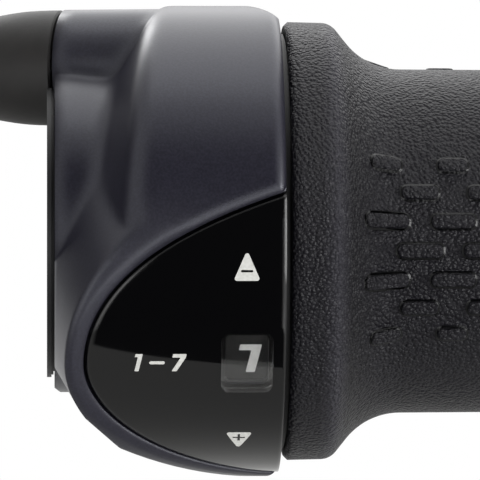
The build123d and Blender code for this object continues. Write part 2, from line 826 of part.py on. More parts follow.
# Winder: cable groove, notches, stop tooth and the shelf that carries the number ring
with BuildPart() as winder:
    with BuildSketch(Plane.XY):
        with BuildLine():
            Polyline(
                (winder_start, winder_bore),
                (winder_start, winder_boss_radius),
                (detent_start, winder_boss_radius),
                (detent_start, detent_radius),
                (groove_start + groove_lip, detent_radius),
                (groove_start + 2 * groove_lip, groove_radius),
                (groove_end - 2 * groove_lip, groove_radius),
                (groove_end - groove_lip, detent_radius),
                (groove_end, detent_radius),
                (groove_end, hub_radius),
                (winder_end - ring_shelf_length, hub_radius),
                (winder_end - ring_shelf_length, ring_shelf_radius),
                (winder_end, ring_shelf_radius),
                (winder_end, winder_bore),
                close=True,
            )
        make_face()
    revolve(axis=Axis.X)
    with BuildSketch(across(winder_start)):
        stop_outer = disc_radius - seat_clearance
        add(ring_sector(winder_boss_radius - stop_root, stop_outer, stop_angle, stop_width))
    extrude(amount=winder_boss_length)
    with BuildSketch(across(detent_start)):
        for gear in range(gear_count):
            with Locations(around(detent_angle + gear_step * gear, notch_centre)):
                Circle(notch_radius)
    extrude(amount=detent_length, mode=Mode.SUBTRACT)
    with BuildSketch(across(groove_start + groove_lip)):
        with Locations(around(nipple_angle, groove_radius + nipple_rise)):
            Circle(nipple_radius)
    extrude(amount=groove_length - groove_lip, mode=Mode.SUBTRACT)
    with BuildSketch(across(winder_end - ring_shelf_length)):
        add(dog_slots())
    extrude(amount=ring_shelf_length, mode=Mode.SUBTRACT)
winder.part.label = "winder"
export_step(winder.part, "parts/winder.step")

# Number ring that passes under the window
with BuildPart() as indicator_ring:
    with BuildSketch(Plane.XY):
        with BuildLine():
            Polyline(
                (ring_start, ring_radius - ring_wall),
                (ring_start, ring_radius),
                (ring_end, ring_radius),
                (ring_end, ring_flange_inner),
                (ring_flange_start, ring_flange_inner),
                (ring_flange_start, ring_radius - ring_wall),
                close=True,
            )
        make_face()
    revolve(axis=Axis.X)
    with BuildSketch(across(ring_flange_start)):
        add(dog_slots())
    extrude(amount=ring_flange, mode=Mode.SUBTRACT)
indicator_ring.part.label = "indicator_ring"
export_step(indicator_ring.part, "parts/indicator_ring.step")

# Hard core of the grip with its flange, dust lip and drive dogs
with BuildPart() as grip_core:
    with BuildSketch(Plane.XY):
        with BuildLine():
            Polyline(
                (core_start, core_bore),
                (core_start, core_flange_radius),
                (core_start + core_flange_length, core_flange_radius),
                (core_start + core_flange_length, core_radius),
                (core_end, core_radius),
                (core_end, core_bore),
                close=True,
            )
        make_face()
    revolve(axis=Axis.X)
    with BuildSketch(across(core_start)):
        Circle(ring_radius)
        Circle(ring_radius - ring_wall, mode=Mode.SUBTRACT)
    extrude(amount=-core_lip)
    with BuildSketch(across(core_start)):
        for dog in range(dog_count):
            add(ring_sector(dog_inner, dog_outer, dog_middle(dog), dog_angle))
    extrude(amount=-(core_start - winder_end + ring_shelf_length - seat_clearance))
    with BuildSketch(across(core_start)):
        with PolarLocations(core_radius, rib_count):
            Rectangle(2 * rib_height, rib_width)
    extrude(amount=core_end - core_start - rib_end_gap)
    with BuildSketch(across(core_start)):
        Circle(core_bore)
    extrude(amount=core_end - core_start, mode=Mode.SUBTRACT)
grip_core.part.label = "grip_core"
export_step(grip_core.part, "parts/grip_core.step")


def sleeve_outline(grow):
    """Half section of the grip's outside, from the flange to the outboard end."""
    with BuildSketch() as section:
        with BuildLine():
            outside = FilletPolyline(
                (sleeve_start, sleeve_flange_radius - sleeve_edge + grow),
                (sleeve_start + sleeve_edge, sleeve_flange_radius + grow),
                (sleeve_flange_end, sleeve_flange_radius - sleeve_flange_taper + grow),
                (sleeve_throat, sleeve_neck_radius + grow),
                (grip_end, sleeve_tail_radius + grow),
                (grip_end, end_lip_radius),
                radius=(0, sleeve_flange_round, sleeve_throat_round, sleeve_end_round),
            )
            Polyline(outside @ 1, (grip_end, 0), (sleeve_start, 0), outside @ 0)
        make_face()
    return section.sketch


# Pads that stand out of the rubber, cut to the grip's own curve
with BuildPart() as grip_pads:
    for group in range(pad_group_count):
        for row in range(1 - len(pad_lengths), len(pad_lengths)):
            angle = pad_group_angle + group * 360 / pad_group_count + row * pad_row_step
            shift = 0 if row % 2 else pad_column_step / 2
            with BuildSketch(facing(angle, pad_base)):
                for column in range(pad_column_count):
                    with Locations((pad_first + shift + column * pad_column_step, 0)):
                        SlotOverall(pad_lengths[abs(row)], pad_width)
    extrude(amount=pad_blank)
    with BuildSketch(Plane.XY):
        add(sleeve_outline(pad_height))
    revolve(axis=Axis.X, mode=Mode.INTERSECT)

# Rubber sleeve over the core
with BuildPart() as grip_sleeve:
    with BuildSketch(Plane.XY):
        add(sleeve_outline(0))
    revolve(axis=Axis.X)
    add(grip_pads.part)
    with BuildSketch(across(sleeve_start)):
        Circle(core_flange_radius)
    extrude(amount=core_start + core_flange_length - sleeve_start, mode=Mode.SUBTRACT)
    with BuildSketch(across(sleeve_start)):
        Circle(core_radius)
        with PolarLocations(core_radius, rib_count):
            Rectangle(2 * rib_height, rib_width)
    extrude(amount=core_end - rib_end_gap - sleeve_start, mode=Mode.SUBTRACT)
    with BuildSketch(across(sleeve_start)):
        Circle(core_radius)
    extrude(amount=core_end - sleeve_start, mode=Mode.SUBTRACT)
    with BuildSketch(across(sleeve_start)):
        Circle(end_lip_radius)
    extrude(amount=grip_end - sleeve_start, mode=Mode.SUBTRACT)
grip_sleeve.part.label = "grip_sleeve"
export_step(grip_sleeve.part, "parts/grip_sleeve.step")

# Cup in the barrel that the end of the cable casing sits in
with BuildPart() as casing_seat:
    with BuildSketch(nose.offset(casing_floor)):
        Circle(seat_cup_radius - seat_cup_clearance)
        Circle(cable_hole, mode=Mode.SUBTRACT)
    extrude(amount=seat_cup_thickness)
casing_seat.part.label = "casing_seat"
export_step(casing_seat.part, "parts/casing_seat.step")

# Threaded adjuster barrel
with BuildPart() as adjuster_barrel:
    with BuildSketch(nose.offset(barrel_head_start)):
        Circle(barrel_head_radius)
    extrude(amount=barrel_head_length)
    with BuildSketch(nose.offset(barrel_head_start)):
        Circle(barrel_radius)
    extrude(amount=-(barrel_head_start + barrel_reach))
    with BuildSketch(nose.offset(-barrel_reach)):
        Circle(cable_hole)
    extrude(amount=barrel_reach + barrel_head_start + barrel_head_length, mode=Mode.SUBTRACT)
    with BuildSketch(nose.offset(casing_floor)):
        Circle(seat_cup_radius)
    extrude(amount=seat_cup_thickness, mode=Mode.SUBTRACT)
    with BuildSketch(nose.offset(casing_floor + seat_cup_thickness)):
        Circle(casing_radius)
    extrude(amount=casing_depth, mode=Mode.SUBTRACT)
    # grooves that key the barrel to its boot
    with BuildSketch(nose.offset(barrel_head_start)):
        with PolarLocations(barrel_head_radius, barrel_groove_count):
            Circle(barrel_groove_radius)
    extrude(amount=barrel_head_length, mode=Mode.SUBTRACT)
adjuster_barrel.part.label = "adjuster_barrel"
export_step(adjuster_barrel.part, "parts/adjuster_barrel.step")

# Rubber boot over the barrel
with BuildPart() as cable_boot:
    with BuildSketch(nose_side):
        with BuildLine():
            Polyline(
                (nose_seam, barrel_head_radius),
                (nose_seam, boot_edge_radius - boot_edge),
                (nose_seam + boot_edge, boot_edge_radius),
            )
            skin = Spline(
                (nose_seam + boot_edge, boot_edge_radius),
                *[(along, nose_radius - inside) for along, inside in boot_skin],
                (boot_length - boot_mouth_edge, boot_mouth_radius),
                tangents=((1, 0), (1, boot_mouth_slope)),
            )
            Polyline(
                skin @ 1,
                (boot_length, boot_mouth_radius - boot_mouth_edge),
                (boot_length, casing_radius),
                (barrel_head_end, casing_radius),
                (barrel_head_end, barrel_head_radius),
                (nose_seam, barrel_head_radius),
            )
        make_face()
    revolve(axis=nose_line)
cable_boot.part.label = "cable_boot"
export_step(cable_boot.part, "parts/cable_boot.step")
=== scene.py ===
"""Looks of the twist grip shifter: finishes, printed signs, grip rubber, camera and light.

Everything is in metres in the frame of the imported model. The handlebar runs along X with the grip
on the +X side, the display faces -Y and Z is up. An angle round the bar starts at -Y and grows
upwards. Sizes below are in millimetres and angles in degrees, as in the part's own source.
"""

import math

import bmesh
import bpy
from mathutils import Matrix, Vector


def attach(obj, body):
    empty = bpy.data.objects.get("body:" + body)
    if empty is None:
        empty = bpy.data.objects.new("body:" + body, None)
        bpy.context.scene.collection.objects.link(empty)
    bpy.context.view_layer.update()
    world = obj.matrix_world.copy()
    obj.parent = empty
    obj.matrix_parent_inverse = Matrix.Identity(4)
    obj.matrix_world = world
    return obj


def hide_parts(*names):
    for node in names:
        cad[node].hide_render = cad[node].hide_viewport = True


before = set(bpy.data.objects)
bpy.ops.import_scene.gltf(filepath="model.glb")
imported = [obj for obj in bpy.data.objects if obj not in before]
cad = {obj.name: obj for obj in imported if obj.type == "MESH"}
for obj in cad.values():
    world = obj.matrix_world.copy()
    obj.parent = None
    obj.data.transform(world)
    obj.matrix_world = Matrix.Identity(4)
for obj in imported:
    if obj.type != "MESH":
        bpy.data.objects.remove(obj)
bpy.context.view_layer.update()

MM = 0.001

# Display: the lens and the number ring are drums about the bar, with the window at this angle round it
DISPLAY_ANGLE = -31
LENS_RADIUS = 23.1
RING_RADIUS = 20.7
GEAR_STEP = 17
NUMBER_PLACE = 19.4
NUMBER_ANGLE = -1.65
WINDOW_PLACE = 19.3
WINDOW_LENGTH = 4.98
WINDOW_HEIGHT = 6.38
WINDOW_CORNER = 0.7
WINDOW_LEDGE = 0.4
PANE_BACK = 21.9
PANE_GAP = 0.01
INK_THICKNESS = 0.02

# Middle of the window's face, in metres
WINDOW_MIDDLE = (
    WINDOW_PLACE * MM,
    -LENS_RADIUS * math.cos(math.radians(DISPLAY_ANGLE)) * MM,
    LENS_RADIUS * math.sin(math.radians(DISPLAY_ANGLE)) * MM,
)

# Sheets bent round the display: strips they are cut into, and the angle from which an edge stays sharp
STRIP = 0.4
SHARP_ANGLE = 40

# Block numerals on a box of this size, drawn as outlines: the shape, then a hole in it
DIGIT_WIDTH = 2.1
DIGIT_HEIGHT = 2.8
DIGIT_SHEAR = 0.23
DIGIT_CORNER = 0.1
DIGIT_STRETCH = 1.12
DIGITS = {
    1: [((0, 2.8), (2.1, 2.8), (2.1, 0), (1.2, 0), (1.2, 2.24), (0, 2.24))],
    2: [((0, 2.8), (2.1, 2.8), (2.1, 1.12), (0.66, 1.12), (0.66, 0.56), (2.1, 0.56), (2.1, 0), (0, 0),
         (0, 1.68), (1.44, 1.68), (1.44, 2.24), (0, 2.24))],
    3: [((0, 2.8), (2.1, 2.8), (2.1, 0), (0, 0), (0, 0.56), (1.44, 0.56), (1.44, 1.12), (0.4, 1.12),
         (0.4, 1.68), (1.44, 1.68), (1.44, 2.24), (0, 2.24))],
    4: [((0, 2.8), (0.66, 2.8), (0.66, 1.6), (1.44, 1.6), (1.44, 2.8), (2.1, 2.8), (2.1, 0), (1.44, 0),
         (1.44, 1.04), (0, 1.04))],
    5: [((2.1, 2.8), (0, 2.8), (0, 1.12), (1.44, 1.12), (1.44, 0.56), (0, 0.56), (0, 0), (2.1, 0),
         (2.1, 1.68), (0.66, 1.68), (0.66, 2.24), (2.1, 2.24))],
    6: [((2.1, 2.8), (0, 2.8), (0, 0), (2.1, 0), (2.1, 1.68), (0.66, 1.68), (0.66, 2.24), (2.1, 2.24)),
        ((0.66, 0.56), (1.44, 0.56), (1.44, 1.12), (0.66, 1.12))],
    7: [((0, 2.8), (2.1, 2.8), (2.1, 2.24), (1.2, 0), (0.4, 0), (1.3, 2.24), (0, 2.24))],
}
SLIM_ONE = [((0.35, 2.8), (1.5, 2.8), (1.5, 0), (0.85, 0), (0.85, 2.3), (0.35, 2.3))]

# Signs on the lens: the range of gears, and triangles with a minus and a plus left open in them
RANGE_SCALE = 0.62
RANGE_FIRST_PLACE = -1.85
RANGE_LAST_PLACE = 2.0
DASH_LENGTH = 1.5
DASH_WIDTH = 0.34
TRIANGLE_WIDTH = 2.6
TRIANGLE_HEIGHT = 3.0
TRIANGLE_CORNER = 0.22
MINUS_LENGTH = 1.2
MINUS_WIDTH = 0.22
MINUS_PLACE = -0.56
PLUS_ARM = 0.6
PLUS_WIDTH = 0.24
PLUS_PLACE = 0.6

# Rounding of edges in the finishes: the paint's grows from the first radius to the second over these
# lengths of the shoulder, and the lens's grows over this distance from the window's middle
PAINT_EDGES = (0.9, 2.6)
SHOULDER_ALONG = (14, 11)
SHOULDER_UP = (-3, 4)
LENS_EDGE = 0.6
LENS_EDGE_GROWS = (3.0, 3.6)

# Grip rubber, as a section outwards from the bar: (X, radius, corner radius)
GRIP_OUTSIDE = (
    (23.6, 21.5, 0),
    (24.0, 21.9, 0),
    (28.2, 21.8, 1.9),
    (31.9, 17.2, 7.0),
    (84.0, 16.9, 2.2),
    (84.0, 12.4, 0),
)
GRIP_INSIDE = ((83.4, 12.4), (83.4, 14.2), (25.5, 14.2), (25.5, 20.4), (23.6, 20.4))
GRIP_SEGMENTS = 240
GRIP_STEP = 1.0

# Places along the bar between which the grip's collar has a painted highlight on its edge and painted
# shade in the hollow behind
GRIP_PAINTED_LIGHT = (26.5, 32.5)

# Raised pads on the grip: groups round the bar, rows in a group, columns along the bar
PAD_WIDTH = 1.4
PAD_CORNER = 0.55
PAD_LENGTHS = (4.5, 4.3, 3.6, 2.9)
PAD_GROUPS = 3
PAD_ROWS = 7
PAD_COLUMNS = 7
PAD_FIRST = 33.0
PAD_COLUMN_STEP = 6.45
PAD_ROW_STEP = 9.5
PAD_GROUP_ANGLE = -3.2
PAD_GROUP_STEP = 130

# Rays that find the rubber under a pad: the radius they start at, and their reach
CAST_RADIUS = 30
CAST_LENGTH = 1000

# One pad, flat: nested outlines as (margin, height, painted moat), from the foot in the rubber to the
# crown.
# The painted moat is a ring at the rubber's level whose colour is painted dark as the shade of a groove
PAD_LOOPS = (
    (0.24, -0.06, 1),
    (0.18, 0.015, 1),
    (0.02, 0.02, 1),
    (-0.05, 0.22, 0.5),
    (-0.12, 0.31, 0),
    (-0.3, 0.35, 0),
)

# Camera: a long lens in front of the bar that looks at the housing
CAMERA_PLACE = (0.3, -540, 0)
CAMERA_TARGET = (19.3, 0, 0.1)
CAMERA_LENS = 405
CAMERA_SENSOR = 36

# Table, as an outline of (X, Y, corner radius) at this drop below the bar's middle
TABLE_DROP = 70
TABLE_OUTLINE = (
    (-400, -100, 0),
    (-6.7, -100, 5),
    (13.5, -43.5, 37),
    (500, -42, 0),
    (500, 400, 0),
    (-400, 400, 0),
)

# Softboxes in metres: (name, place, target, width and height, brightness)
SOFTBOXES = (
    ("overhead_softbox", (0.12, 0.22, 0.45), (0.12, 0, 0), (0.7, 0.9), 1.7),
    ("back_softbox", (-0.28, 0.6, 0.44), (0.01, 0, 0), (0.2, 0.2), 6),
    ("left_softbox", (-0.27, -0.69, -0.22), (0.02, 0, 0), (0.3, 0.8), 3.2),
    ("right_softbox", (0.31, -0.69, -0.22), (0.02, 0, 0), (0.3, 0.8), 3.2),
    ("side_softbox", (0.86, -0.28, 0.02), (0.03, 0, 0), (0.45, 0.42), 11),
)

# Black cards, by their corners in metres
CARDS = {
    "front_card": ((-0.55, -0.9, -2.2), (0.6, -0.9, -2.2), (0.6, -0.9, 1.2), (-0.55, -0.9, 1.2)),
    "left_card": ((-0.7, 0.05, -0.3), (-0.6, 0.5, -0.3), (-0.6, 0.5, 0.5), (-0.7, 0.05, 0.5)),
    "right_card": ((0.75, 0.05, -0.3), (0.75, 0.05, 0.5), (0.55, 0.8, 0.5), (0.55, 0.8, -0.3)),
}

# How bright the white studio is as light. To the camera and in reflections it is 1, plain white
STUDIO_LIGHT = 0.4


def linear(colour):
    """Linear RGBA of an sRGB hex colour."""
    parts = [int(colour[i : i + 2], 16) / 255 for i in (1, 3, 5)]
    return [c / 12.92 if c <= 0.04045 else ((c + 0.055) / 1.055) ** 2.4 for c in parts] + [1.0]


def node(tree, kind, inputs=None, **settings):
    """Adds a node with its settings. Inputs are values, or sockets to link from."""
    made = tree.nodes.new(kind)
    for name, value in settings.items():
        setattr(made, name, value)
    for key, value in (inputs or {}).items():
        if isinstance(value, bpy.types.NodeSocket):
            tree.links.new(value, made.inputs[key])
        else:
            made.inputs[key].default_value = value
    return made


def new_material(name, **shader):
    """A material with one Principled shader. Returns it with its tree, shader and place."""
    made = bpy.data.materials.new(name)
    made.use_nodes = True
    tree = made.node_tree
    tree.nodes.clear()
    principled = node(tree, "ShaderNodeBsdfPrincipled", shader)
    node(tree, "ShaderNodeOutputMaterial", {"Surface": principled.outputs["BSDF"]})
    place = node(tree, "ShaderNodeTexCoord").outputs["Object"]
    return made, tree, principled, place


def per_mm(size):
    """Scale of a noise whose features are this many millimetres across."""
    return 1 / (size * MM)


# Satin metallic paint on moulded ABS: deep blue grey, one broad soft highlight, and a mica grain that
# breaks up the bright parts, drawn coarser than real mica so that it shows. It rounds off the edges
# under it, most of all on the shoulder, where the forms flow into each other
paint, tree, shader, place = new_material(
    "satin_paint_on_abs",
    **{"Roughness": 0.34, "IOR": 1.5, "Specular Tint": linear("#eef0f9")},
)
mica = node(tree, "ShaderNodeTexNoise", {"Vector": place, "Scale": per_mm(0.22), "Detail": 1.0})
tone = node(tree, "ShaderNodeValToRGB", {"Fac": mica.outputs["Fac"]})
tone.color_ramp.elements[0].color = linear("#17161f")
tone.color_ramp.elements[0].position = 0.35
tone.color_ramp.elements[1].color = linear("#22212b")
tone.color_ramp.elements[1].position = 0.68
spot = node(tree, "ShaderNodeSeparateXYZ", {"Vector": place})
inboard = node(
    tree,
    "ShaderNodeMapRange",
    {
        "Value": spot.outputs["X"],
        "From Min": SHOULDER_ALONG[0] * MM,
        "From Max": SHOULDER_ALONG[1] * MM,
    },
)
upper = node(
    tree,
    "ShaderNodeMapRange",
    {
        "Value": spot.outputs["Z"],
        "From Min": SHOULDER_UP[0] * MM,
        "From Max": SHOULDER_UP[1] * MM,
    },
)
shoulder = node(
    tree,
    "ShaderNodeMath",
    {0: inboard.outputs["Result"], 1: upper.outputs["Result"]},
    operation="MULTIPLY",
)
flow = node(
    tree,
    "ShaderNodeMapRange",
    {
        "Value": shoulder.outputs[0],
        "To Min": PAINT_EDGES[0] * MM,
        "To Max": PAINT_EDGES[1] * MM,
    },
)
edges = node(tree, "ShaderNodeBevel", {"Radius": flow.outputs["Result"]}, samples=12)
grain = node(
    tree,
    "ShaderNodeBump",
    {
        "Strength": 0.25,
        "Distance": 0.02 * MM,
        "Height": mica.outputs["Fac"],
        "Normal": edges.outputs["Normal"],
    },
)
tree.links.new(tone.outputs["Color"], shader.inputs["Base Color"])
tree.links.new(grain.outputs["Normal"], shader.inputs["Normal"])

# Polished acrylic, black right through: mirror gloss with hardly any colour of its own. The lens's outer
# edges are softly rounded and catch the light, and the edge of the window's opening is sharp
acrylic, tree, shader, place = new_material(
    "polished_black_acrylic", **{"Base Color": linear("#050506"), "IOR": 1.49}
)
haze = node(tree, "ShaderNodeTexNoise", {"Vector": place, "Scale": per_mm(6.0), "Detail": 3.0})
polish = node(
    tree,
    "ShaderNodeMapRange",
    {"Value": haze.outputs["Fac"], "From Min": 0.3, "From Max": 0.7, "To Min": 0.03, "To Max": 0.06},
)
tree.links.new(polish.outputs["Result"], shader.inputs["Roughness"])
away = node(tree, "ShaderNodeVectorMath", {0: place, 1: WINDOW_MIDDLE}, operation="SUBTRACT")
away = node(tree, "ShaderNodeVectorMath", {0: away.outputs[0]}, operation="ABSOLUTE")
away = node(tree, "ShaderNodeSeparateXYZ", {"Vector": away.outputs[0]}).outputs
away = node(tree, "ShaderNodeMath", {0: away["X"], 1: away["Z"]}, operation="MAXIMUM")
softness = node(
    tree,
    "ShaderNodeMapRange",
    {
        "Value": away.outputs[0],
        "From Min": LENS_EDGE_GROWS[0] * MM,
        "From Max": LENS_EDGE_GROWS[1] * MM,
        "To Max": LENS_EDGE * MM,
    },
)
edges = node(tree, "ShaderNodeBevel", {"Radius": softness.outputs["Result"]}, samples=8)
tree.links.new(edges.outputs["Normal"], shader.inputs["Normal"])

# Clear acrylic of the pane: lets the number through, and its two faces and hard coat shine more than
# the lens round it, so it looks greyer. Its edges are left matte from the saw
clear, tree, shader, place = new_material(
    "hard_coated_acrylic",
    **{
        "Base Color": linear("#ffffff"),
        "IOR": 1.49,
        "Transmission Weight": 1.0,
        "Coat Weight": 0.5,
        "Coat Roughness": 0.03,
        "Coat IOR": 1.6,
    },
)
haze = node(tree, "ShaderNodeTexNoise", {"Vector": place, "Scale": per_mm(4.0), "Detail": 3.0})
polish = node(
    tree,
    "ShaderNodeMapRange",
    {"Value": haze.outputs["Fac"], "From Min": 0.3, "From Max": 0.7, "To Min": 0.03, "To Max": 0.07},
)
outwards = node(tree, "ShaderNodeVectorMath", {0: place, 1: (0, 1, 1)}, operation="MULTIPLY")
outwards = node(tree, "ShaderNodeVectorMath", {0: outwards.outputs[0]}, operation="NORMALIZE")
normal = node(tree, "ShaderNodeNewGeometry").outputs["Normal"]
facing = node(
    tree,
    "ShaderNodeVectorMath",
    {0: normal, 1: outwards.outputs[0]},
    operation="DOT_PRODUCT",
)
facing = node(tree, "ShaderNodeMath", {0: facing.outputs["Value"]}, operation="ABSOLUTE")
sawn = node(
    tree,
    "ShaderNodeMapRange",
    {"Value": facing.outputs[0], "From Min": 0.8, "From Max": 0.6, "To Max": 0.9},
)
finish = node(
    tree,
    "ShaderNodeMath",
    {0: polish.outputs["Result"], 1: sawn.outputs["Result"]},
    operation="MAXIMUM",
)
tree.links.new(finish.outputs[0], shader.inputs["Roughness"])

# Moulded nylon: black with a spark-eroded grain from the mould, so it looks matte. The grain is drawn
# coarse enough to show
nylon, tree, shader, place = new_material(
    "moulded_nylon", **{"Base Color": linear("#121214"), "Roughness": 0.55, "IOR": 1.5}
)
erosion = node(tree, "ShaderNodeTexNoise", {"Vector": place, "Scale": per_mm(0.25), "Detail": 2.0})
grain = node(
    tree,
    "ShaderNodeBump",
    {"Strength": 0.4, "Distance": 0.03 * MM, "Height": erosion.outputs["Fac"]},
)
tree.links.new(grain.outputs["Normal"], shader.inputs["Normal"])

# Zinc-plated steel: cool bright metal, a little cloudy
steel, tree, shader, place = new_material(
    "zinc_plated_steel", **{"Base Color": linear("#b4b6ba"), "Metallic": 1.0}
)
cloud = node(tree, "ShaderNodeTexNoise", {"Vector": place, "Scale": per_mm(1.5), "Detail": 4.0})
plating = node(
    tree,
    "ShaderNodeMapRange",
    {"Value": cloud.outputs["Fac"], "From Min": 0.3, "From Max": 0.7, "To Min": 0.22, "To Max": 0.4},
)
tree.links.new(plating.outputs["Result"], shader.inputs["Roughness"])

# Turned brass: warm metal with fine rings from the lathe
brass, tree, shader, place = new_material(
    "turned_brass", **{"Base Color": linear("#c8a25a"), "Metallic": 1.0, "Roughness": 0.3}
)
rings = node(
    tree,
    "ShaderNodeTexWave",
    {"Vector": place, "Scale": per_mm(0.4), "Distortion": 0.4},
    wave_type="RINGS",
)
lathe = node(
    tree,
    "ShaderNodeBump",
    {"Strength": 0.3, "Distance": 0.02 * MM, "Height": rings.outputs["Fac"]},
)
tree.links.new(lathe.outputs["Normal"], shader.inputs["Normal"])

# Soft moulded rubber: warm black, slightly dusty, with a dull sheen at its edges
rubber, tree, shader, place = new_material(
    "soft_moulded_rubber",
    **{"Roughness": 0.55, "IOR": 1.4, "Sheen Weight": 0.03, "Sheen Roughness": 0.4},
)
bloom = node(tree, "ShaderNodeTexNoise", {"Vector": place, "Scale": per_mm(3.0), "Detail": 5.0})
tone = node(tree, "ShaderNodeValToRGB", {"Fac": bloom.outputs["Fac"]})
tone.color_ramp.elements[0].color = linear("#121110")
tone.color_ramp.elements[0].position = 0.3
tone.color_ramp.elements[1].color = linear("#1d1b1a")
tone.color_ramp.elements[1].position = 0.7
skin = node(tree, "ShaderNodeTexNoise", {"Vector": place, "Scale": per_mm(0.3), "Detail": 2.0})
grain = node(
    tree,
    "ShaderNodeBump",
    {"Strength": 0.3, "Distance": 0.03 * MM, "Height": skin.outputs["Fac"]},
)
tree.links.new(tone.outputs["Color"], shader.inputs["Base Color"])
tree.links.new(grain.outputs["Normal"], shader.inputs["Normal"])

# Grained rubber of the grip: charcoal, with a leather grain of small creased cells. Its colour has a
# painted highlight along the edge of its collar and painted shade in the hollow behind, and round each
# pad it is smoother, with a ring painted near black as the shade of a groove
leather, tree, shader, place = new_material("grained_grip_rubber", **{"IOR": 1.29})
warp = node(tree, "ShaderNodeTexNoise", {"Vector": place, "Scale": per_mm(0.9), "Detail": 2.0})
bend = node(
    tree,
    "ShaderNodeVectorMath",
    {0: warp.outputs["Color"], 1: (0.35 * MM,) * 3},
    operation="MULTIPLY",
)
bent = node(tree, "ShaderNodeVectorMath", {0: place, 1: bend.outputs["Vector"]})
cells = node(
    tree,
    "ShaderNodeTexVoronoi",
    {"Vector": bent.outputs["Vector"], "Scale": per_mm(0.36)},
    feature="F1",
)
tooth = node(tree, "ShaderNodeTexNoise", {"Vector": place, "Scale": per_mm(0.17), "Detail": 2.0})
painted_moat = node(tree, "ShaderNodeAttribute", attribute_name="painted_moat")
depth = node(
    tree, "ShaderNodeMapRange", {"Value": painted_moat.outputs["Fac"], "To Min": 1.0, "To Max": 0.1}
)
polish = node(
    tree, "ShaderNodeMapRange", {"Value": painted_moat.outputs["Fac"], "To Min": 0.45, "To Max": 0.18}
)
fine = node(
    tree,
    "ShaderNodeBump",
    {"Strength": depth.outputs["Result"], "Distance": 0.08 * MM, "Height": tooth.outputs["Fac"]},
)
creases = node(
    tree,
    "ShaderNodeBump",
    {
        "Strength": depth.outputs["Result"],
        "Distance": 0.3 * MM,
        "Height": cells.outputs["Distance"],
        "Normal": fine.outputs["Normal"],
    },
    invert=True,
)
along = node(tree, "ShaderNodeSeparateXYZ", {"Vector": place})
collar = node(
    tree,
    "ShaderNodeMapRange",
    {
        "Value": along.outputs["X"],
        "From Min": GRIP_PAINTED_LIGHT[0] * MM,
        "From Max": GRIP_PAINTED_LIGHT[1] * MM,
    },
)
# Painted highlight on the edge of the collar, then painted shade in the hollow behind it
painted_light_and_shade = node(tree, "ShaderNodeValToRGB", {"Fac": collar.outputs["Result"]})
painted_light_and_shade.color_ramp.elements[0].color = linear("#151419")
painted_light_and_shade.color_ramp.elements[0].position = 0.0
painted_light_and_shade.color_ramp.elements[1].color = linear("#141318")
painted_light_and_shade.color_ramp.elements[1].position = 1.0
painted_light_and_shade.color_ramp.elements.new(0.27).color = linear("#2a292f")
painted_light_and_shade.color_ramp.elements.new(0.5).color = linear("#0f0e12")
# Ring round each pad painted near black as the shade of a groove that the mesh doesn't have
tone = node(
    tree,
    "ShaderNodeMix",
    {"Factor": painted_moat.outputs["Fac"], 6: painted_light_and_shade.outputs["Color"], 7: linear("#040405")},
    data_type="RGBA",
)
tree.links.new(tone.outputs["Result"], shader.inputs["Base Color"])
tree.links.new(polish.outputs["Result"], shader.inputs["Roughness"])
tree.links.new(creases.outputs["Normal"], shader.inputs["Normal"])

# Moulded ABS of the number ring: nearly black, fine matte grain
ring_abs, tree, shader, place = new_material(
    "matte_abs", **{"Base Color": linear("#050506"), "Roughness": 0.6, "IOR": 1.45}
)
erosion = node(tree, "ShaderNodeTexNoise", {"Vector": place, "Scale": per_mm(0.2), "Detail": 2.0})
grain = node(
    tree,
    "ShaderNodeBump",
    {"Strength": 0.3, "Distance": 0.02 * MM, "Height": erosion.outputs["Fac"]},
)
tree.links.new(grain.outputs["Normal"], shader.inputs["Normal"])


def printed_ink(name, thin, full):
    """Pad-printed ink: satin, with thin places where the pad let go of it."""
    made, tree, shader, place = new_material(name, **{"Roughness": 0.45, "IOR": 1.5})
    film = node(tree, "ShaderNodeTexNoise", {"Vector": place, "Scale": per_mm(0.35), "Detail": 3.0})
    tone = node(tree, "ShaderNodeValToRGB", {"Fac": film.outputs["Fac"]})
    tone.color_ramp.elements[0].color = linear(thin)
    tone.color_ramp.elements[0].position = 0.3
    tone.color_ramp.elements[1].color = linear(full)
    tone.color_ramp.elements[1].position = 0.7
    tree.links.new(tone.outputs["Color"], shader.inputs["Base Color"])
    return made


# Off-white for the signs on the lens, pure white for the numbers under the pane
ink = printed_ink("off_white_pad_printed_ink", "#c6c6c1", "#dadad6")
white_ink = printed_ink("white_pad_printed_ink", "#ecece9", "#f8f8f6")

FINISHES = {
    "housing_shell": paint,
    "display_lens": acrylic,
    "bracket": nylon,
    "winder": nylon,
    "grip_core": nylon,
    "cable_guide": nylon,
    "casing_seat": nylon,
    "clamp_screw": steel,
    "bracket_screws": steel,
    "thrust_washer": steel,
    "spring_washer": steel,
    "retaining_ring": steel,
    "detent_spring": steel,
    "adjuster_barrel": steel,
    "clamp_insert": brass,
    "barrel_insert": brass,
    "cable_boot": rubber,
    "cable_port_plug": rubber,
    "indicator_ring": ring_abs,
}
for name, finish in FINISHES.items():
    cad[name].data.materials.clear()
    cad[name].data.materials.append(finish)


def new_piece(name, points, faces, material):
    """A mesh object from points in metres."""
    mesh = bpy.data.meshes.new(name)
    mesh.from_pydata(points, [], faces)
    mesh.materials.append(material)
    mesh.update()
    piece = bpy.data.objects.new(name, mesh)
    bpy.context.scene.collection.objects.link(piece)
    return piece


